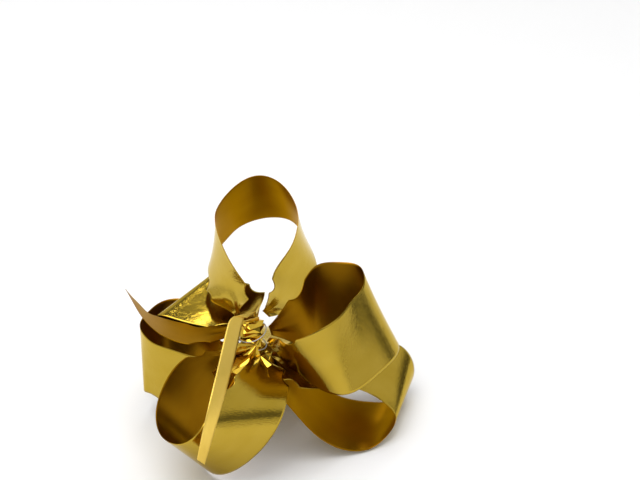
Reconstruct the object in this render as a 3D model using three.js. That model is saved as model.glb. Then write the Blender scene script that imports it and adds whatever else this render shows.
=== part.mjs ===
// A pre-made gift bow: one length of wide metallised film, folded into seven loops and a tail.
// A narrow pull ribbon runs through the folds, and a fine thread binds them into a knot.
// Millimetres, +Z up, with the front of the bow facing -Y.
import * as THREE from "three";

// Driving dimensions
const FILM_WIDTH = 31;
const FILM_THICKNESS = 0.5; // the film and the play between its two faces
const PULL_WIDTH = 6.5;
const NECK_WIDTH = 6.5; // the film's width where it is gathered at the knot
const FAN_LENGTH = 11.5; // how far from the knot the pleats have opened out flat
const NOTCH_END = 19; // how far from the knot the die-cut notch in each edge ends
const NOTCH_LENGTH = 10;
const NOTCH_DEPTH = 3.5;
const TAIL_POINT_LENGTH = 22;
const TAIL_TIP_WIDTH = 1.5;
const FOLD_COUNT = 8;
const FOLD_PITCH = 2.2;
const FOLD_GAP = 0.35;
const FOLD_RADIUS = 4.7;
const FOLD_RIPPLE = 0.45; // height of the pleats round a fold's rim
const FOLD_PLEATS = 6;
const FOLD_STAGGER = 0.35; // how far each fold's pleats are turned from the one below, in radians
const STACK_FOOT = 36; // height of the lowest fold's underside
const SLOT_LENGTH = PULL_WIDTH + 0.8;
const SLOT_WIDTH = FILM_THICKNESS + 0.7;
const PULL_TURN = 0.49; // how far the pull ribbon is turned about the knot's axis, in radians
const CORE_OVERHANG = 0.8; // how far the pull ribbon shows past the lowest and highest folds
const THREAD_RADIUS = 0.22;
const THREAD_RING_RADIUS = 5.75;

// A material of metallised film, or of the thread
const material = (color, roughness, metalness) =>
  new THREE.MeshStandardMaterial({ color, roughness, metalness, side: THREE.DoubleSide });
const GOLD = 0xc9a227;
const PALE_GOLD = 0xd8b64a;
const CLEAR_GREY = 0xc8c8c0;

// Each row is one station along a ribbon, from the knot out and back: the middle of the film,
// then the direction that the film's width points in.
const LOOP_TOP = [
  [-5.5, 6, 52.5, -7, 25, -16],
  [-9.5, 12.5, 56.5, -19, 20, -14],
  [-12, 20.5, 59.5, -14, 21, -18],
  [-15.5, 29.5, 63.5, -8, 19, -23],
  [-16.5, 38, 67.5, -3, 17, -26],
  [-13, 46, 71.5, 3, 18, -25],
  [-8, 53.5, 74, 2, 15, -27],
  [2.5, 58.5, 76.5, 1, 13, -28],
  [12.5, 57.5, 74.5, 1, 17, -26],
  [18, 51.5, 70.5, 1, 21, -23],
  [20.5, 44, 66, 5, 21, -22],
  [20.5, 35.5, 61, 11, 20, -21],
  [17, 27, 56.5, 16, 19, -19],
  [13, 17, 53, 12, 19, -21],
  [5, 7.5, 52, 9, 19, -23],
];
const LOOP_FRONT = [
  [3.5, -8, 42, 18, 17, -16],
  [3.5, -19.5, 40, 23, 19, -9],
  [0.5, -31, 37.5, 28, 11, -7],
  [-2.5, -39, 32.5, 28, 10, -9],
  [-8.5, -42.5, 24.5, 24, 11, -16],
  [-18, -41.5, 16.5, 18, 11, -23],
  [-26, -34, 13.5, 16, 10, -24],
  [-28.5, -24, 17, 17, 10, -24],
  [-25, -17, 25, 19, 9, -23],
  [-17, -11.5, 36, 18, 12, -22],
  [-3, -7, 41, 17, 14, -20],
];
const LOOP_LOWER_RIGHT = [
  [6, -5, 37.5, 5, 26, -10],
  [16, -7, 27.5, 1, 31, 1],
  [26.5, -7, 14.5, 2, 31, 2],
  [37, -4, 5.5, 2, 31, 3],
  [48, 0, 1.5, 2, 31, 1],
  [58, 6, 2.5, 5, 30, -4],
  [62.5, 11, 9, 9, 30, 0],
  [56.5, 15, 17.5, 11, 28, 6],
  [44, 13, 23, 10, 29, 2],
  [27, 7.5, 27.3, 7, 30, 4],
  [7, -2, 38.2, 5, 27, -2],
];
const LOOP_RIGHT = [
  [7, -3.5, 45.5, 4, 14, -27],
  [19, -16.5, 45.5, 4, 13, -28],
  [33.5, -19, 47.5, 6, -5, -30],
  [45, -6, 49, 12, -11, -27],
  [52, 12.5, 49, 14, -4, -27],
  [49, 20, 49.5, 10, -5, -29],
  [37.5, 21, 50, 4, -11, -29],
  [27, 18, 50.5, 3, -8, -30],
  [21, 9.5, 49, 4, 3, -31],
  [7, 3, 47, 5, 14, -27],
];
const LOOP_LEFT = [
  [-6.8, -2.5, 41, -4, 15, -27],
  [-21.5, -5.5, 24.5, -3, 1, -31],
  [-33.5, -1.5, 26.2, -2, 3, -31],
  [-42.5, 5, 27.5, -1, 5, -31],
  [-45.5, 9.5, 27.3, 0, 0, -31],
  [-44, 21.5, 26, 0, -6, -30],
  [-37.5, 31, 25.2, 0, -9, -30],
  [-27.5, 31.5, 25, 0, -8, -30],
  [-16, 19.5, 24.5, -1, 14, -28],
  [-6.8, 3.5, 39.3, -2, 18, -25],
];
const LOOP_UPPER_LEFT = [
  [0.5, 9.8, 49.3, 8, 29, -6],
  [-1.5, 18.5, 47, 14, 28, 1],
  [-12, 24, 47, 15, 26, 4],
  [-23, 26.5, 47.4, 19, 24, 5],
  [-29.6, 29.3, 45.8, 20, 22, 5],
  [-27.8, 29.8, 42.4, 20, 22, 6],
  [-16.5, 27, 42.3, 17, 25, 5],
  [-4, 19.5, 42.8, 13, 28, 0],
  [0.5, 9.5, 46, 9, 28, -8],
];
const LOOP_BACK = [
  [2.8, 7.5, 37.3, 30, -8, 0],
  [5.5, 18, 30.5, 30, -8, 0],
  [10, 34, 25, 30, -8, 0],
  [13, 48, 16, 30, -8, 0],
  [13.5, 52, 8, 30, -8, 0],
  [12, 46, 1.2, 30, -8, 0],
  [9, 33, 1, 30, -8, 0],
  [6, 19, 11, 30, -8, 0],
  [2.5, 7, 34, 30, -8, 0],
];
const TAIL = [
  [-7, -0.5, 49.8, -1, 30, -6],
  [-17.5, -5, 50.3, -2, 29, -11],
  [-25, -6, 51, -3, 29, -10],
  [-33, -4, 52, -4, 29, -10],
  [-41, 1.5, 53, -4, 29, -11],
  [-46, 7.5, 55.5, -2, 29, -12],
  [-51, 13.5, 59.5, 1, 24, -20],
];
const PULL = [
  [0, 0, 56.2, 14, 26, -3],
  [-4, -2.6, 57.6, 22, 20, -8],
  [-6.6, -10, 55.8, 25, 12, -14],
  [-8.8, -24.5, 51.5, 26, 12, -13],
  [-11.5, -41.5, 47, 23, 15, -13],
  [-14.5, -51, 38.5, 19, 18, -16],
  [-18.5, -48.5, 20.5, 12, 16, -24],
];

// How wide the film is at a distance from the knot: gathered at the thread, notched where it was
// die-cut, and full width past the notch.
function widthFromKnot(distance) {
  const fan = NECK_WIDTH + (FILM_WIDTH - NECK_WIDTH) * Math.min(1, distance / FAN_LENGTH);
  const across = (distance - NOTCH_END) / (NOTCH_LENGTH / 2) + 1;
  const notch = NOTCH_DEPTH * Math.max(0, 1 - across * across);
  return Math.min(fan, FILM_WIDTH - 2 * notch);
}
const loopWidth = (distance, length) => Math.min(widthFromKnot(distance), widthFromKnot(length - distance));

// Width of the tail, which is cut to a point at its free end
function tailWidth(distance, length) {
  const toTip = Math.min(1, (length - distance) / TAIL_POINT_LENGTH);
  return Math.min(widthFromKnot(distance), TAIL_TIP_WIDTH + (FILM_WIDTH - TAIL_TIP_WIDTH) * toTip);
}

// Distances along a ribbon where its outline is sampled: close together in the fans, wider between
function sampleDistances(length, fanEnds) {
  const fine = 1.8;
  const coarse = 3.4;
  const distances = [0];
  while (distances.at(-1) < length - 0.01) {
    const here = distances.at(-1);
    const inFan = here < NOTCH_END || (fanEnds > 1 && here > length - NOTCH_END - coarse);
    distances.push(Math.min(length, here + (inFan ? fine : coarse)));
  }
  if (length - distances.at(-2) < fine / 2) distances.splice(-2, 1);
  return distances;
}

// A closed thin solid along the stations. Each cross-section is a rectangle of the film's width
// and thickness, with a middle line so that a twisted stretch stays true.
function ribbonGeometry(stations, { width, thickness = FILM_THICKNESS, fanEnds = 2 }) {
  const centre = new THREE.CatmullRomCurve3(stations.map((s) => new THREE.Vector3(...s.slice(0, 3))));
  const across = new THREE.CatmullRomCurve3(
    stations.map((s) => new THREE.Vector3(...s.slice(3)).normalize()),
  );
  centre.arcLengthDivisions = 400;
  const length = centre.getLength();
  const points = [];
  for (const distance of sampleDistances(length, fanEnds)) {
    const t = centre.getUtoTmapping(0, distance);
    const middle = centre.getPoint(t);
    const half = across.getPoint(t).normalize().multiplyScalar(width(distance, length) / 2);
    const normal = centre.getTangent(t).cross(half).normalize().multiplyScalar(thickness / 2);
    for (const [sideways, up] of [[-1, -1], [0, -1], [1, -1], [1, 1], [0, 1], [-1, 1]])
      points.push(middle.clone().addScaledVector(half, sideways).addScaledVector(normal, up));
  }
  return closedTube(points, 6);
}

// Joins rings of points into one closed surface, with flat fans over both ends
function closedTube(points, ringSize) {
  const rings = points.length / ringSize;
  const index = [];
  for (let ring = 0; ring + 1 < rings; ring++)
    for (let k = 0; k < ringSize; k++) {
      const a = ring * ringSize + k;
      const b = ring * ringSize + ((k + 1) % ringSize);
      index.push(a, b, b + ringSize, a, b + ringSize, a + ringSize);
    }
  const last = (rings - 1) * ringSize;
  for (const [i, j, k] of [[0, 1, 5], [1, 4, 5], [1, 2, 4], [2, 3, 4]]) {
    index.push(i, k, j);
    index.push(last + i, last + j, last + k);
  }
  const geometry = new THREE.BufferGeometry().setFromPoints(points);
  geometry.setIndex(index);
  geometry.computeVertexNormals();
  return geometry;
}

function named(name, geometry, surface) {
  const mesh = new THREE.Mesh(geometry, surface);
  mesh.name = name;
  return mesh;
}

const loop = (name, stations) =>
  named(name, ribbonGeometry(stations, { width: loopWidth }), material(GOLD, 0.25, 0.9));

function tail() {
  const geometry = ribbonGeometry(TAIL, { width: tailWidth, fanEnds: 1 });
  return named("ribbon_tail", geometry, material(PALE_GOLD, 0.4, 0.7));
}

function pullRibbon() {
  const geometry = ribbonGeometry(PULL, { width: () => PULL_WIDTH, fanEnds: 1 });
  return named("pull_ribbon", geometry, material(PALE_GOLD, 0.3, 0.85));
}

// One waist of the film, pleated into a flat puck with a slot for the pull ribbon
function waistFold(index) {
  const rimPoints = 6 * FOLD_PLEATS;
  const rim = [];
  for (let k = 0; k < rimPoints; k++) {
    const angle = (2 * Math.PI * k) / rimPoints;
    const radius = FOLD_RADIUS + FOLD_RIPPLE * Math.cos(FOLD_PLEATS * (angle + index * FOLD_STAGGER));
    rim.push(new THREE.Vector2(radius * Math.cos(angle), radius * Math.sin(angle)));
  }
  const outline = new THREE.Shape(rim);
  const slot = new THREE.Path();
  const [sx, sy] = [SLOT_LENGTH / 2, SLOT_WIDTH / 2];
  const corners = [[-sx, -sy], [-sx, sy], [sx, sy], [sx, -sy]];
  slot.setFromPoints(
    corners.map(([x, y]) => new THREE.Vector2(x, y).rotateAround(new THREE.Vector2(), PULL_TURN)),
  );
  outline.holes.push(slot);
  const depth = FOLD_PITCH - FOLD_GAP;
  const mesh = named(
    "waist_fold_" + (index + 1),
    new THREE.ExtrudeGeometry(outline, { depth, bevelEnabled: false }),
    material(GOLD, 0.3, 0.9),
  );
  mesh.position.z = STACK_FOOT + index * FOLD_PITCH;
  return mesh;
}

// The stretch of pull ribbon inside the knot, from under the lowest fold to just above the top one
function pullRibbonCore() {
  const height = FOLD_COUNT * FOLD_PITCH - FOLD_GAP + 2 * CORE_OVERHANG;
  const mesh = named(
    "pull_ribbon_core",
    new THREE.BoxGeometry(PULL_WIDTH, FILM_THICKNESS, height),
    material(PALE_GOLD, 0.3, 0.85),
  );
  mesh.position.z = STACK_FOOT - CORE_OVERHANG + height / 2;
  mesh.rotation.z = PULL_TURN;
  return mesh;
}

// One turn of the binding thread round the knot, tilted, so its ring is stretched to clear the folds
function threadTurn({ name, height, tilt, heading }) {
  const ring = new THREE.TorusGeometry(THREAD_RING_RADIUS, THREAD_RADIUS, 8, 40);
  ring.scale(1 / Math.cos(tilt), 1, 1);
  const mesh = named(name, ring, material(CLEAR_GREY, 0.2, 0.3));
  mesh.rotation.set(0, tilt, heading, "ZYX");
  mesh.position.z = height;
  return mesh;
}

const bow = new THREE.Group();
for (let index = 0; index < FOLD_COUNT; index++) bow.add(waistFold(index));
bow.add(pullRibbonCore());
bow.add(threadTurn({ name: "tie_thread_lower", height: 43, tilt: 0.25, heading: 0.2 }));
bow.add(threadTurn({ name: "tie_thread_upper", height: 48, tilt: -0.3, heading: 0.6 }));
bow.add(loop("loop_top", LOOP_TOP));
bow.add(loop("loop_front", LOOP_FRONT));
bow.add(loop("loop_lower_right", LOOP_LOWER_RIGHT));
bow.add(loop("loop_right", LOOP_RIGHT));
bow.add(loop("loop_left", LOOP_LEFT));
bow.add(loop("loop_upper_left", LOOP_UPPER_LEFT));
bow.add(loop("loop_back", LOOP_BACK));
bow.add(tail());
bow.add(pullRibbon());

// The frame's origin is the middle of the bow's footprint, at the height of the surface it stands on
const extent = new THREE.Box3().setFromObject(bow, true);
const centre = extent.getCenter(new THREE.Vector3());
bow.position.set(-centre.x, -centre.y, -extent.min.z);

export default bow;
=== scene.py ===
"""A pre-made gift bow of metallised gold film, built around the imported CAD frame. Blender 4.5, metres."""
import math
import random

import bpy
import numpy as np
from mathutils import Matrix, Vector


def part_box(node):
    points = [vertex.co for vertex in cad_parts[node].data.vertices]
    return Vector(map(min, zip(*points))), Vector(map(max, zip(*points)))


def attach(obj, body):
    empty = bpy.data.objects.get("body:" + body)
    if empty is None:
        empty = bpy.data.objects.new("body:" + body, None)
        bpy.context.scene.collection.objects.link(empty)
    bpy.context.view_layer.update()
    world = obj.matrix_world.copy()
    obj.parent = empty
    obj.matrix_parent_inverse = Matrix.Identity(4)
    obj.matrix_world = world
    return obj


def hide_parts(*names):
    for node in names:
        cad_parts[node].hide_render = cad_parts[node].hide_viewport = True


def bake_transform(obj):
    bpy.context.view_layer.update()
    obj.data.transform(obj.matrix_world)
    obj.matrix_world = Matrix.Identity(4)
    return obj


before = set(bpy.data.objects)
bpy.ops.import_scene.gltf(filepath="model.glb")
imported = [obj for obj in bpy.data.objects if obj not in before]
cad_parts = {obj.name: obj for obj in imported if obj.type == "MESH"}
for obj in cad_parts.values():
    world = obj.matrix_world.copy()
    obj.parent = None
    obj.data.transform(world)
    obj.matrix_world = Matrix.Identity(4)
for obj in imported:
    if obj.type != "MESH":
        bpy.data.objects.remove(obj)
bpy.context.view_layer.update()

MM = 0.001

# The driving sizes, in millimetres. They are the CAD model's, but for the two thicknesses, which are
# nearer to the real film's here.
FILM_WIDTH = 31
FILM_THICKNESS = 0.14
PULL_WIDTH = 6.5
PULL_THICKNESS = 0.3
NECK_WIDTH = 6.5
FAN_LENGTH = 11.5
NOTCH_END = 19
NOTCH_LENGTH = 10
NOTCH_DEPTH = 3.5
TAIL_POINT_LENGTH = 22
TAIL_TIP_WIDTH = 1.5
FOLD_COUNT = 8
FOLD_PITCH = 2.2
STACK_FOOT = 36
CORE_OVERHANG = 0.8

# How finely the strips are divided
LOOP_ROWS = 150
TAIL_ROWS = 80
FILM_COLUMNS = 33
PULL_ROWS = 90
PULL_COLUMNS = 9
AXIS_SAMPLES = 1200
FILM_UV = "film"

# The film's crumpling, which the CAD model leaves out. Lengths are in millimetres.
PLEAT_HEIGHT = 1.1
PLEAT_REACH = 13
PLEAT_FADE = 1.3  # the power by which pleats flatten away from the knot
PLEAT_COUNTS = (5, 6, 7)
PLEAT_SHIFT = 0.3  # how far a pleat strays from its even place, as a share of their spacing
PLEAT_SHARE = (0.4, 1.0)  # of the full height
LOOP_SEED = 1
LOOP_SEED_STEP = 10
TAIL_SEED = 91
FOLD_REACH = 5.45
# Rings of a fold from its top to its foot: share of its reach, height in pitches, turn in creases
FOLD_PROFILE = [(0.62, 0.5, 0), (1.0, 0.05, 0.5), (0.62, -0.5, 0.1)]
FOLD_SEED = 400
FOLD_CREASES = (5, 6, 7)
FOLD_SHIFT = 0.3  # how far a crease strays from its even place, as a share of their spacing
FOLD_OUT = (0.78, 1.06)  # how far out a crease stands, as a share of the reach
FOLD_SAG = 0.4  # how far a crease is lifted or lowered, in pitches
FOLD_MIDDLE = 0.42  # how high a fold's middle is above its foot, in pitches
FOLD_CAP = 0.45  # how far its end points are from its middle, in pitches
# The flaps of crumpled film beside the knot: the point where each is pinched, then its rim
FLAPS = [
    ((2, -5, 45), [(-13, -7, 48.3), (-10, -12, 44.5), (-15.5, -14.5, 38.5), (-13, -15.5, 34),
                   (-10, -15.5, 29.5), (-2, -13, 38.5), (4.5, -10, 40)]),
    ((2, -6, 42), [(-6, -11, 43), (-8, -13.5, 38), (-2, -15, 36), (3, -14.5, 38), (8, -11.5, 40)]),
]
FLAP_SEED = 700
FLAP_LIFT = Vector((0, -1, 0.6))  # the way that a flap's facets stand out
FLAP_PLACE = (0.45, 0.7)  # where a facet's middle point is, as a share of the way to the rim
FLAP_STAND = (-0.9, 1.1)  # how far it stands out
# How far a loop's outgoing strand bulges, and over what share of the loop's length
CROWNS = {"loop_upper_left": 1.8}
CROWN_SHARE = 0.48
# Loops gathered more tightly than the rest: how far the gathers reach at the start and end, as a share
GATHERS = {
    "loop_front": (1, 0.75),
    "loop_top": (0.7, 1),
    "loop_lower_right": (0.35, 1),
    "loop_left": (0.6, 1),
}

# The CAD model's own millimetre axes stand on the knot's axis, where the core of the pull ribbon is
core_low, core_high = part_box("pull_ribbon_core")
KNOT_FOOT = Vector((
    (core_low.x + core_high.x) / 2,
    (core_low.y + core_high.y) / 2,
    core_low.z - (STACK_FOOT - CORE_OVERHANG) * MM,
))


def place(x, y, z):
    """A point given in millimetres from the foot of the knot's axis, in metres in the row frame."""
    return KNOT_FOOT + Vector((x, y, z)) * MM


# Each row is one station along a ribbon, from the knot outwards and, on a loop, back to it: the middle
# of the film, then the direction that the film's width points in. Millimetres, as in the CAD model.
STATIONS = {
    "loop_top": [
        [-5.5, 6, 52.5, -7, 25, -16],
        [-9.5, 12.5, 56.5, -19, 20, -14],
        [-12, 20.5, 59.5, -14, 21, -18],
        [-15.5, 29.5, 63.5, -8, 19, -23],
        [-16.5, 38, 67.5, -3, 17, -26],
        [-13, 46, 71.5, 3, 18, -25],
        [-8, 53.5, 74, 2, 15, -27],
        [2.5, 58.5, 76.5, 1, 13, -28],
        [12.5, 57.5, 74.5, 1, 17, -26],
        [18, 51.5, 70.5, 1, 21, -23],
        [20.5, 44, 66, 5, 21, -22],
        [20.5, 35.5, 61, 11, 20, -21],
        [17, 27, 56.5, 16, 19, -19],
        [13, 17, 53, 12, 19, -21],
        [5, 7.5, 52, 9, 19, -23],
    ],
    "loop_front": [
        [3.5, -8, 42, 18, 17, -16],
        [3.5, -19.5, 40, 23, 19, -9],
        [0.5, -31, 37.5, 28, 11, -7],
        [-2.5, -39, 32.5, 28, 10, -9],
        [-8.5, -42.5, 24.5, 24, 11, -16],
        [-18, -41.5, 16.5, 18, 11, -23],
        [-26, -34, 13.5, 16, 10, -24],
        [-28.5, -24, 17, 17, 10, -24],
        [-25, -17, 25, 19, 9, -23],
        [-17, -11.5, 36, 18, 12, -22],
        [-3, -7, 41, 17, 14, -20],
    ],
    "loop_lower_right": [
        [6, -5, 37.5, 5, 26, -10],
        [16, -7, 27.5, 1, 31, 1],
        [26.5, -7, 14.5, 2, 31, 2],
        [37, -4, 5.5, 2, 31, 3],
        [48, 0, 1.5, 2, 31, 1],
        [58, 6, 2.5, 5, 30, -4],
        [62.5, 11, 9, 9, 30, 0],
        [56.5, 15, 17.5, 11, 28, 6],
        [44, 13, 23, 10, 29, 2],
        [27, 7.5, 27.3, 7, 30, 4],
        [7, -2, 38.2, 5, 27, -2],
    ],
    "loop_right": [
        [7, -3.5, 45.5, 4, 14, -27],
        [19, -16.5, 45.5, 4, 13, -28],
        [33.5, -19, 47.5, 6, -5, -30],
        [45, -6, 49, 12, -11, -27],
        [52, 12.5, 49, 14, -4, -27],
        [49, 20, 49.5, 10, -5, -29],
        [37.5, 21, 50, 4, -11, -29],
        [27, 18, 50.5, 3, -8, -30],
        [21, 9.5, 49, 4, 3, -31],
        [7, 3, 47, 5, 14, -27],
    ],
    "loop_left": [
        [-6.8, -2.5, 41, -4, 15, -27],
        [-21.5, -5.5, 24.5, -3, 1, -31],
        [-33.5, -1.5, 26.2, -2, 3, -31],
        [-42.5, 5, 27.5, -1, 5, -31],
        [-45.5, 9.5, 27.3, 0, 0, -31],
        [-44, 21.5, 26, 0, -6, -30],
        [-37.5, 31, 25.2, 0, -9, -30],
        [-27.5, 31.5, 25, 0, -8, -30],
        [-16, 19.5, 24.5, -1, 14, -28],
        [-6.8, 3.5, 39.3, -2, 18, -25],
    ],
    "loop_upper_left": [
        [0.5, 9.8, 49.3, 8, 29, -6],
        [-1.5, 18.5, 47, 14, 28, 1],
        [-12, 24, 47, 15, 26, 4],
        [-23, 26.5, 47.4, 19, 24, 5],
        [-29.6, 29.3, 45.8, 20, 22, 5],
        [-27.8, 29.8, 42.4, 20, 22, 6],
        [-16.5, 27, 42.3, 17, 25, 5],
        [-4, 19.5, 42.8, 13, 28, 0],
        [0.5, 9.5, 46, 9, 28, -8],
    ],
    "loop_back": [
        [2.8, 7.5, 37.3, 30, -8, 0],
        [5.5, 18, 30.5, 30, -8, 0],
        [10, 34, 25, 30, -8, 0],
        [13, 48, 16, 30, -8, 0],
        [13.5, 52, 8, 30, -8, 0],
        [12, 46, 1.2, 30, -8, 0],
        [9, 33, 1, 30, -8, 0],
        [6, 19, 11, 30, -8, 0],
        [2.5, 7, 34, 30, -8, 0],
    ],
    "ribbon_tail": [
        [-7, -0.5, 49.8, -1, 30, -6],
        [-17.5, -5, 50.3, -2, 29, -11],
        [-25, -6, 51, -3, 29, -10],
        [-33, -4, 52, -4, 29, -10],
        [-41, 1.5, 53, -4, 29, -11],
        [-46, 7.5, 55.5, -2, 29, -12],
        [-51, 13.5, 59.5, 1, 24, -20],
    ],
    "pull_ribbon": [
        [0, 0, 56.2, 14, 26, -3],
        [-4, -2.6, 57.6, 22, 20, -8],
        [-6.6, -10, 55.8, 25, 12, -14],
        [-8.8, -24.5, 51.5, 26, 12, -13],
        [-11.5, -41.5, 47, 23, 15, -13],
        [-14.5, -51, 38.5, 19, 18, -16],
        [-18.5, -48.5, 20.5, 12, 16, -24],
    ],
}
LOOPS = [name for name in STATIONS if name.startswith("loop_")]


# ---------------------------------------------------------------- the camera, lights and floor

CAMERA_ELEVATION = math.radians(31)
CAMERA_POSITION = (27.2, -579.8, 439.1)  # mm from the foot of the knot's axis
CAMERA_CLOSEST = 10 * MM
SENSOR_WIDTH = 36
LENS = 98.4


def make_camera():
    """A long lens, above the front of the bow and looking down at it."""
    camera = bpy.data.objects.new("camera", bpy.data.cameras.new("camera"))
    bpy.context.scene.collection.objects.link(camera)
    camera.data.lens = LENS
    camera.data.sensor_width = SENSOR_WIDTH
    camera.data.clip_start = CAMERA_CLOSEST
    camera.rotation_euler = (math.pi / 2 - CAMERA_ELEVATION, 0, 0)
    camera.location = place(*CAMERA_POSITION)
    bpy.context.scene.camera = camera


SOFTBOX_POSITION = (-150, -100, 900)
SOFTBOX_TARGET = (0, 0, 45)
SOFTBOX_SIDE = 0.7
SOFTBOX_WATTS = 5


def make_softbox():
    """A large square lamp overhead."""
    light = bpy.data.lights.new("softbox", "AREA")
    light.shape = "SQUARE"
    light.size = SOFTBOX_SIDE
    light.energy = SOFTBOX_WATTS
    lamp = bpy.data.objects.new("softbox", light)
    bpy.context.scene.collection.objects.link(lamp)
    lamp.location = place(*SOFTBOX_POSITION)
    aim = place(*SOFTBOX_TARGET) - place(*SOFTBOX_POSITION)
    lamp.rotation_euler = aim.to_track_quat("-Z", "Y").to_euler()


# The studio as the film mirrors it: a level all round, and soft-edged panels over it. A panel is its
# middle (degrees right of straight back, degrees up), its size, how soft its edge is, and its level.
STUDIO_LEVEL = 0.80
STUDIO_PANELS = [
    ((65, 4), (16, 34), 6, 0.15),  # a dark stand on the right
    ((38, 38), (34, 28), 6, 0.02),  # a black card behind, on the right
    ((130, 35), (36, 34), 7, 0.2),  # the camera and its stand
    ((-14, 58), (44, 34), 8, 0.2),  # the dim side of the room, behind on the left
    ((0, 54), (14, 5), 1.5, 10.0),  # a strip lamp high behind
    ((16, 42), (20, 12), 2, 4.0),  # the lamp under it
]


def make_world():
    """White light from all round, as strong in each direction as the level and the panels say."""
    world = bpy.data.worlds.new("studio")
    bpy.context.scene.world = world
    world.use_nodes = True
    tree = world.node_tree

    def math_node(operation, *inputs):
        node = tree.nodes.new("ShaderNodeMath")
        node.operation = operation
        for socket, value in zip(node.inputs, inputs):
            if isinstance(value, bpy.types.NodeSocket):
                tree.links.new(value, socket)
            else:
                socket.default_value = value
        return node.outputs[0]

    def inside(angle, middle, size, edge):
        """1 within the panel's size, falling to 0 over its soft edge."""
        turn = math_node("SUBTRACT", angle, math.radians(middle))
        away = math_node("ABSOLUTE", math_node("WRAP", turn, math.pi, -math.pi))
        fade = tree.nodes.new("ShaderNodeMapRange")
        fade.interpolation_type = "SMOOTHSTEP"
        tree.links.new(away, fade.inputs["Value"])
        fade.inputs["From Min"].default_value = math.radians(size / 2 - edge)
        fade.inputs["From Max"].default_value = math.radians(size / 2 + edge)
        fade.inputs["To Min"].default_value = 1
        fade.inputs["To Max"].default_value = 0
        return fade.outputs["Result"]

    direction = tree.nodes.new("ShaderNodeTexCoord")
    split = tree.nodes.new("ShaderNodeSeparateXYZ")
    tree.links.new(direction.outputs["Generated"], split.inputs[0])
    heading = math_node("ARCTAN2", split.outputs["X"], split.outputs["Y"])
    height = math_node("ARCSINE", split.outputs["Z"])
    level = STUDIO_LEVEL
    for (right, up), (wide, tall), edge, panel_level in STUDIO_PANELS:
        mask = math_node("MULTIPLY", inside(heading, right, wide, edge), inside(height, up, tall, edge))
        step = math_node("MULTIPLY", mask, math_node("SUBTRACT", panel_level, level))
        level = math_node("ADD", level, step)
    background = tree.nodes["Background"]
    tree.links.new(level, background.inputs["Strength"])
    background.inputs["Color"].default_value = (1, 1, 1, 1)


FLOOR_SIDE = 6
FLOOR_GREY = 0.92
FLOOR_ROUGHNESS = 0.7


def make_floor():
    """A pale floor, which isn't part of the bow."""
    bpy.ops.mesh.primitive_plane_add(size=FLOOR_SIDE)
    floor = bpy.context.object
    floor.name = "floor"
    material = bpy.data.materials.new("pale_floor")
    material.use_nodes = True
    shader = material.node_tree.nodes["Principled BSDF"]
    shader.inputs["Base Color"].default_value = (FLOOR_GREY, FLOOR_GREY, FLOOR_GREY, 1)
    shader.inputs["Roughness"].default_value = FLOOR_ROUGHNESS
    floor.data.materials.append(material)


def make_studio():
    """Everything that isn't the bow."""
    make_camera()
    make_world()
    make_floor()
    make_softbox()
    bpy.context.scene.view_settings.view_transform = "Standard"


# ---------------------------------------------------------------- materials


# Noise scales are in features per metre across and along the film. Relief is in metres.
CLOUD_SCALE = (120, 60, 1)
GRAIN_SCALE = (600, 2400, 1)
RIPPLE_SCALE = (260, 420, 1)
FOIL_RELIEF = 0.0001
RIPPLE_STRENGTH = 0.5
FOIL_TINT = (1.0, 0.92, 0.65, 1)

BACKING_CLOUD_SCALE = (90, 45, 1)
BACKING_GRAIN_SCALE = (4000, 4000, 1)
BACKING_RELIEF = 0.00005
BACKING_STRENGTH = 0.15
BACKING_TINT = (0.95, 0.76, 0.45, 1)

THREAD_SCALE = 900
THREAD_METALLIC = 0.6

# The middle stretch of a noise, over which a colour goes from its darker to its lighter shade
SHADE_RANGE = (0.3, 0.7)


class Nodes:
    """A short way to add and join the nodes of one material."""

    def __init__(self, name):
        self.material = bpy.data.materials.new(name)
        self.material.use_nodes = True
        self.tree = self.material.node_tree
        self.shader = self.tree.nodes["Principled BSDF"]

    def add(self, kind, **inputs):
        """A new node. An input's name has _ in place of each space."""
        node = self.tree.nodes.new("ShaderNode" + kind)
        for key, value in inputs.items():
            self.feed(node, key.replace("_", " "), value)
        return node

    def feed(self, node, socket, value):
        """Joins a socket to another node's output, or sets its value."""
        if isinstance(value, bpy.types.NodeSocket):
            self.tree.links.new(value, node.inputs[socket])
        else:
            node.inputs[socket].default_value = value

    def noise(self, scale, detail):
        """Noise in the film's own coordinates, metres across and metres along, scaled."""
        uv = self.add("UVMap")
        uv.uv_map = FILM_UV
        place_on_film = self.add("Mapping", Vector=uv.outputs["UV"], Scale=scale)
        texture = self.add("TexNoise", Vector=place_on_film.outputs["Vector"], Scale=1.0, Detail=detail)
        return texture.outputs["Fac"]

    def shades(self, value, darker, lighter):
        """A colour between two shades."""
        ramp = self.add("ValToRGB", Fac=value)
        for element, position, shade in zip(ramp.color_ramp.elements, SHADE_RANGE, (darker, lighter)):
            element.position = position
            element.color = (*shade, 1)
        return ramp.outputs["Color"]

    def span(self, value, low, high):
        """A value between two limits."""
        return self.add("MapRange", Value=value, To_Min=low, To_Max=high).outputs["Result"]


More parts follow.
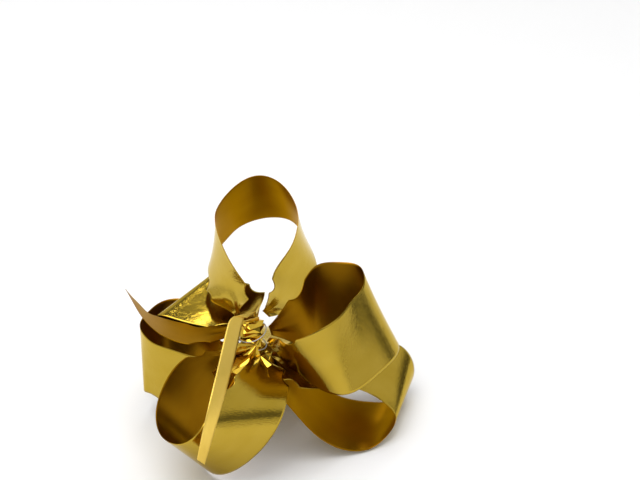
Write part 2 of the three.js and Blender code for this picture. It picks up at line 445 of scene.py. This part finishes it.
def foil(name, darker, lighter, roughness, grain_strength):
    """Metallised film: a mirror with slight ripples and a fine grain, which blurs it along the ribbon."""
    nodes = Nodes(name)
    grain = nodes.noise(GRAIN_SCALE, detail=3.0)
    cloud = nodes.noise(CLOUD_SCALE, detail=2.0)
    ripple = nodes.noise(RIPPLE_SCALE, detail=1.0)
    waves = nodes.add("Bump", Height=ripple, Strength=RIPPLE_STRENGTH, Distance=FOIL_RELIEF)
    relief = nodes.add("Bump", Height=grain, Strength=grain_strength, Distance=FOIL_RELIEF,
                       Normal=waves.outputs["Normal"])
    nodes.feed(nodes.shader, "Base Color", nodes.shades(cloud, darker, lighter))
    nodes.feed(nodes.shader, "Metallic", 1.0)
    nodes.feed(nodes.shader, "Specular Tint", FOIL_TINT)
    nodes.feed(nodes.shader, "Roughness", nodes.span(grain, *roughness))
    nodes.feed(nodes.shader, "Normal", relief.outputs["Normal"])
    return nodes.material


def backing(name, darker, lighter, roughness):
    """The film's inner side: half-matt brown-gold metal with a very fine grain."""
    nodes = Nodes(name)
    cloud = nodes.noise(BACKING_CLOUD_SCALE, detail=2.0)
    grain = nodes.noise(BACKING_GRAIN_SCALE, detail=2.0)
    relief = nodes.add("Bump", Height=grain, Strength=BACKING_STRENGTH, Distance=BACKING_RELIEF)
    nodes.feed(nodes.shader, "Base Color", nodes.shades(cloud, darker, lighter))
    nodes.feed(nodes.shader, "Metallic", 1.0)
    nodes.feed(nodes.shader, "Specular Tint", BACKING_TINT)
    nodes.feed(nodes.shader, "Roughness", nodes.span(grain, *roughness))
    nodes.feed(nodes.shader, "Normal", relief.outputs["Normal"])
    return nodes.material


def clear_thread(name, darker, lighter, roughness):
    """Clear thread, which looks grey and half glossy."""
    nodes = Nodes(name)
    coordinates = nodes.add("TexCoord")
    texture = nodes.add("TexNoise", Vector=coordinates.outputs["Object"], Scale=THREAD_SCALE, Detail=2.0)
    strand = texture.outputs["Fac"]
    nodes.feed(nodes.shader, "Base Color", nodes.shades(strand, darker, lighter))
    nodes.feed(nodes.shader, "Metallic", THREAD_METALLIC)
    nodes.feed(nodes.shader, "Roughness", nodes.span(strand, *roughness))
    return nodes.material


# Each has its darker and lighter shade and its range of roughness
GOLD_FOIL = foil("gold_foil", (0.44, 0.295, 0.031), (0.475, 0.325, 0.042), (0.07, 0.15), 0.5)
# The knot's foil is the loops' film with a painted highlight: its colour is brighter and more orange,
# standing in for the knot's glints and gold-on-gold reflections.
KNOT_FOIL_PAINTED_HIGHLIGHT = foil("knot_foil_painted_highlight", (0.66, 0.42, 0.04), (0.70, 0.46, 0.05), (0.08, 0.16), 0.2)
PALE_FOIL = foil("pale_foil", (0.80, 0.56, 0.10), (0.86, 0.61, 0.13), (0.38, 0.5), 0.3)
BROWN_BACKING = backing("brown_backing", (0.26, 0.118, 0.003), (0.31, 0.148, 0.005), (0.30, 0.42))
THREAD = clear_thread("clear_thread", (0.26, 0.26, 0.25), (0.5, 0.5, 0.48), (0.3, 0.45))


# ---------------------------------------------------------------- the film's shape


def spline_at(knots, rows):
    """The natural cubic spline through the rows, one at each knot, as a function of 0..1."""
    count = len(knots)
    steps = np.diff(knots)
    system = np.eye(count)
    right = np.zeros_like(rows)
    for i in range(1, count - 1):
        system[i, i - 1:i + 2] = steps[i - 1], 2 * (steps[i - 1] + steps[i]), steps[i]
        right[i] = 6 * ((rows[i + 1] - rows[i]) / steps[i] - (rows[i] - rows[i - 1]) / steps[i - 1])
    bends = np.linalg.solve(system, right)

    def curve(t):
        i = np.clip(np.searchsorted(knots, t, side="right") - 1, 0, count - 2)
        h, a, b = steps[i][:, None], (knots[i + 1] - t)[:, None], (t - knots[i])[:, None]
        return (
            bends[i] * a**3 / (6 * h) + bends[i + 1] * b**3 / (6 * h)
            + (rows[i] / h - bends[i] * h / 6) * a + (rows[i + 1] / h - bends[i + 1] * h / 6) * b
        )

    return curve


def unit(vectors):
    """The same directions, each of length one."""
    return vectors / np.linalg.norm(vectors, axis=-1, keepdims=True)


def ribbon_axis(stations, count):
    """Evenly spaced points along a ribbon's middle line, the direction across it, and its length, in mm."""
    stations = np.asarray(stations, float)
    spacing = np.linalg.norm(np.diff(stations[:, :3], axis=0), axis=1)
    knots = np.concatenate([[0], np.cumsum(spacing)]) / spacing.sum()
    centre = spline_at(knots, stations[:, :3])
    across_at = spline_at(knots, unit(stations[:, 3:]))
    fine = np.linspace(0, 1, AXIS_SAMPLES)
    line = centre(fine)
    travelled = np.concatenate([[0], np.cumsum(np.linalg.norm(np.diff(line, axis=0), axis=1))])
    length = travelled[-1]
    t = np.interp(np.linspace(0, length, count), travelled, fine)
    return centre(t), unit(across_at(t)), length


def width_from_knot(distance):
    """The film's width at a distance from the knot: gathered there, then notched, then full."""
    fan = NECK_WIDTH + (FILM_WIDTH - NECK_WIDTH) * np.minimum(1, distance / FAN_LENGTH)
    across = (distance - NOTCH_END) / (NOTCH_LENGTH / 2) + 1
    notch = NOTCH_DEPTH * np.maximum(0, 1 - across**2)
    return np.minimum(fan, FILM_WIDTH - 2 * notch)


def loop_width(distance, length, gathers):
    """A loop's width; gathers is how far the gathers reach at its two ends, as a share of the usual."""
    start, end = gathers
    return np.minimum(width_from_knot(distance / start), width_from_knot((length - distance) / end))


def tail_width(distance, length):
    """The tail's width, which runs to a narrow tip."""
    to_tip = np.minimum(1, (length - distance) / TAIL_POINT_LENGTH)
    return np.minimum(width_from_knot(distance), TAIL_TIP_WIDTH + (FILM_WIDTH - TAIL_TIP_WIDTH) * to_tip)


def pleat_wave(seed):
    """An uneven zigzag of gathered film across the ribbon, as a function of -1..1."""
    draw = random.Random(seed)
    count = draw.choice(PLEAT_COUNTS)
    shifts = [draw.uniform(-PLEAT_SHIFT, PLEAT_SHIFT) for _ in range(count)]
    places = [-1 + 2 * (k + shift) / (count - 1) for k, shift in enumerate(shifts)]
    places[0], places[-1] = -1, 1
    heights = [(-1) ** k * draw.uniform(*PLEAT_SHARE) for k in range(count)]
    return lambda u: np.interp(u, places, heights)


def pleat_depth(distance):
    """How deep the pleats are, in mm, at a distance from the knot."""
    fade = np.clip(1 - distance / PLEAT_REACH, 0, 1)
    return PLEAT_HEIGHT * fade**PLEAT_FADE


def film_grid(stations, width, along, across, gathered_ends, seed=0, crown=0):
    """The middle surface of a ribbon as a grid of points, its film coordinates and its length, in mm."""
    centre, direction, length = ribbon_axis(stations, along)
    distance = np.linspace(0, length, along)
    half = width(distance, length) / 2
    u = np.linspace(-1, 1, across)
    grid = centre[:, None, :] + direction[:, None, :] * (half[:, None] * u)[:, :, None]
    lift = np.zeros((along, across))
    for end, reach in enumerate((distance, length - distance)[:gathered_ends]):
        lift += pleat_depth(reach)[:, None] * pleat_wave(seed + end)(u)
    rise = crown * np.sin(math.pi * np.clip(distance / (CROWN_SHARE * length), 0, 1)) ** 2
    grid = grid + grid_normals(grid) * (lift + rise[:, None])[:, :, None]
    film = np.stack(np.broadcast_arrays(half[:, None] * u, distance[:, None]), axis=-1)
    return grid, film, length


def grid_normals(grid):
    """The direction square to the surface at each point of a grid."""
    tangent = np.gradient(grid, axis=0)
    sideways = np.gradient(grid, axis=1)
    return unit(np.cross(tangent, sideways))


OUTER, INNER, EDGE = 0, 1, 2  # a strip's faces, by the place of their material


def film_object(name, grid, film, materials, thickness):
    """A thin closed strip from a grid, whose outer face, inner face and edge each have a material."""
    rows, columns = grid.shape[:2]
    normals = grid_normals(grid)
    middle = rows // 2, columns // 2
    hollow = grid.reshape(-1, 3).mean(axis=0)
    flipped = np.dot(normals[middle], grid[middle] - hollow) < 0
    if flipped:
        normals = -normals
    outer = grid + normals * thickness / 2
    inner = grid - normals * thickness / 2
    points = np.concatenate([outer.reshape(-1, 3), inner.reshape(-1, 3)]) * MM + np.array(KNOT_FOOT)
    layer = rows * columns

    def at(i, j, side=OUTER):
        return side * layer + i * columns + j

    faces, slots = [], []

    def add(slot, *corners):
        faces.append(corners[::-1] if flipped else corners)
        slots.append(slot)

    last_row, last_column = rows - 1, columns - 1
    for i in range(last_row):
        for j in range(last_column):
            add(OUTER, at(i, j), at(i + 1, j), at(i + 1, j + 1), at(i, j + 1))
            add(INNER, at(i, j, INNER), at(i, j + 1, INNER), at(i + 1, j + 1, INNER), at(i + 1, j, INNER))
    for i in range(last_row):
        j = last_column
        add(EDGE, at(i, 0), at(i, 0, INNER), at(i + 1, 0, INNER), at(i + 1, 0))
        add(EDGE, at(i, j), at(i + 1, j), at(i + 1, j, INNER), at(i, j, INNER))
    for j in range(last_column):
        i = last_row
        add(EDGE, at(0, j), at(0, j + 1), at(0, j + 1, INNER), at(0, j, INNER))
        add(EDGE, at(i, j), at(i, j, INNER), at(i, j + 1, INNER), at(i, j + 1))
    mesh = bpy.data.meshes.new(name)
    mesh.from_pydata(points.tolist(), [], faces)
    for material in materials:
        mesh.materials.append(material)
    mesh.polygons.foreach_set("material_index", slots)
    mesh.polygons.foreach_set("use_smooth", [slot != EDGE for slot in slots])
    coordinates = np.concatenate([film.reshape(-1, 2)] * 2) * MM
    corner_points = np.zeros(len(mesh.loops), np.int32)
    mesh.loops.foreach_get("vertex_index", corner_points)
    uv = mesh.uv_layers.new(name=FILM_UV)
    uv.data.foreach_set("uv", coordinates[corner_points].astype(np.float32).ravel())
    mesh.update()
    piece = bpy.data.objects.new(name, mesh)
    bpy.context.scene.collection.objects.link(piece)
    return piece


def film_piece(name, width, gathered_ends, along, seed, crown=0):
    """One strand or loop of the gold film in place of its CAD node."""
    stations = STATIONS[name]
    grid, film, length = film_grid(stations, width, along, FILM_COLUMNS, gathered_ends, seed, crown)
    materials = [GOLD_FOIL, BROWN_BACKING, BROWN_BACKING]
    piece = film_object(name + "_film", grid, film, materials, FILM_THICKNESS)
    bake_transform(piece)
    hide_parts(name)
    widths = width(np.linspace(0, length, along), length)


# ---------------------------------------------------------------- the pieces


def make_loops():
    """The seven loops, each pleated where it leaves the knot and where it comes back."""
    for index, name in enumerate(LOOPS):
        gathers = GATHERS.get(name, (1, 1))
        film_piece(
            name,
            lambda distance, length: loop_width(distance, length, gathers),
            gathered_ends=2,
            along=LOOP_ROWS,
            seed=LOOP_SEED + LOOP_SEED_STEP * index,
            crown=CROWNS.get(name, 0),
        )


def make_tail():
    """The film's free end."""
    film_piece("ribbon_tail", tail_width, gathered_ends=1, along=TAIL_ROWS, seed=TAIL_SEED)


def knot_piece(name, points, faces):
    """A piece of crumpled foil that stays with the knot."""
    mesh = bpy.data.meshes.new(name)
    mesh.from_pydata([tuple(point) for point in points], [], faces)
    # The knot's pieces take the foil with the painted highlight.
    mesh.materials.append(KNOT_FOIL_PAINTED_HIGHLIGHT)
    piece = bpy.data.objects.new(name, mesh)
    bpy.context.scene.collection.objects.link(piece)
    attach(piece, "knot")
    return piece


def make_fold(index):
    """One waist of the film inside the knot: gathered foil, creased into flat facets."""
    draw = random.Random(FOLD_SEED + index)
    creases = draw.choice(FOLD_CREASES)
    turn = draw.uniform(0, math.tau)
    middle = STACK_FOOT + (index + FOLD_MIDDLE) * FOLD_PITCH
    steps = [turn + math.tau * (k + draw.uniform(-FOLD_SHIFT, FOLD_SHIFT)) / creases
             for k in range(creases)]
    reach = [draw.uniform(*FOLD_OUT) for _ in steps]
    sag = [draw.uniform(-FOLD_SAG, FOLD_SAG) for _ in steps]
    points = [place(0, 0, middle + FOLD_CAP * FOLD_PITCH)]
    for share, lift, turned in FOLD_PROFILE:
        for angle, out, drop in zip(steps, reach, sag):
            radius = FOLD_REACH * share * (1 + (out - 1) * share)
            around = angle + turned * math.tau / creases
            height = middle + FOLD_PITCH * (lift + drop * share)
            points.append(place(radius * math.cos(around), radius * math.sin(around), height))
    points.append(place(0, 0, middle - FOLD_CAP * FOLD_PITCH))
    last = len(points) - 1
    faces = [(0, 1 + k, 1 + (k + 1) % creases) for k in range(creases)]
    for row in range(len(FOLD_PROFILE) - 1):
        for k in range(creases):
            a, b = 1 + row * creases + k, 1 + row * creases + (k + 1) % creases
            faces += [(a, a + creases, b), (b, a + creases, b + creases)]
    faces += [(last, last - creases + (k + 1) % creases, last - creases + k) for k in range(creases)]
    piece = knot_piece(f"fold_{index + 1}_film", points, faces)
    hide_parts(f"waist_fold_{index + 1}")


def make_flap(index, pinch, rim):
    """A fan of flat facets from one pinch point, with the film's thickness."""
    draw = random.Random(FLAP_SEED + index)
    centre = place(*pinch)
    outline = [place(*point) for point in rim]
    middles = []
    for one, two in zip(outline, outline[1:]):
        crease = centre.lerp((one + two) / 2, draw.uniform(*FLAP_PLACE))
        middles.append(crease + FLAP_LIFT * draw.uniform(*FLAP_STAND) * MM)
    points = [centre] + outline + middles
    first_middle = 1 + len(outline)
    faces = []
    for k in range(len(middles)):
        one, two, crease = 1 + k, 2 + k, first_middle + k
        faces += [(0, one, crease), (one, two, crease), (two, 0, crease)]
    piece = knot_piece(f"flap_{index + 1}", points, faces)
    shell = piece.modifiers.new("film", "SOLIDIFY")
    shell.thickness = FILM_THICKNESS * MM


def make_pull_ribbon():
    """The narrow ribbon outside the knot, flat and of one width."""
    def width(distance, _length):
        return np.full_like(distance, PULL_WIDTH)

    grid, film, _ = film_grid(STATIONS["pull_ribbon"], width, PULL_ROWS, PULL_COLUMNS, gathered_ends=0)
    piece = film_object("pull_ribbon_film", grid, film, [PALE_FOIL] * 3, PULL_THICKNESS)
    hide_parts("pull_ribbon")
    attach(piece, "pull_ribbon")


KEPT_NODES = {"tie_thread_lower": THREAD, "tie_thread_upper": THREAD, "pull_ribbon_core": PALE_FOIL}


def finish_kept_nodes():
    """The CAD nodes that stay as they are get their materials."""
    for name, material in KEPT_NODES.items():
        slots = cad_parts[name].data.materials
        slots.clear()
        slots.append(material)


make_studio()
make_loops()
make_tail()
make_pull_ribbon()
for fold in range(FOLD_COUNT):
    make_fold(fold)
for flap, (pinch, rim) in enumerate(FLAPS):
    make_flap(flap, pinch, rim)
finish_kept_nodes()
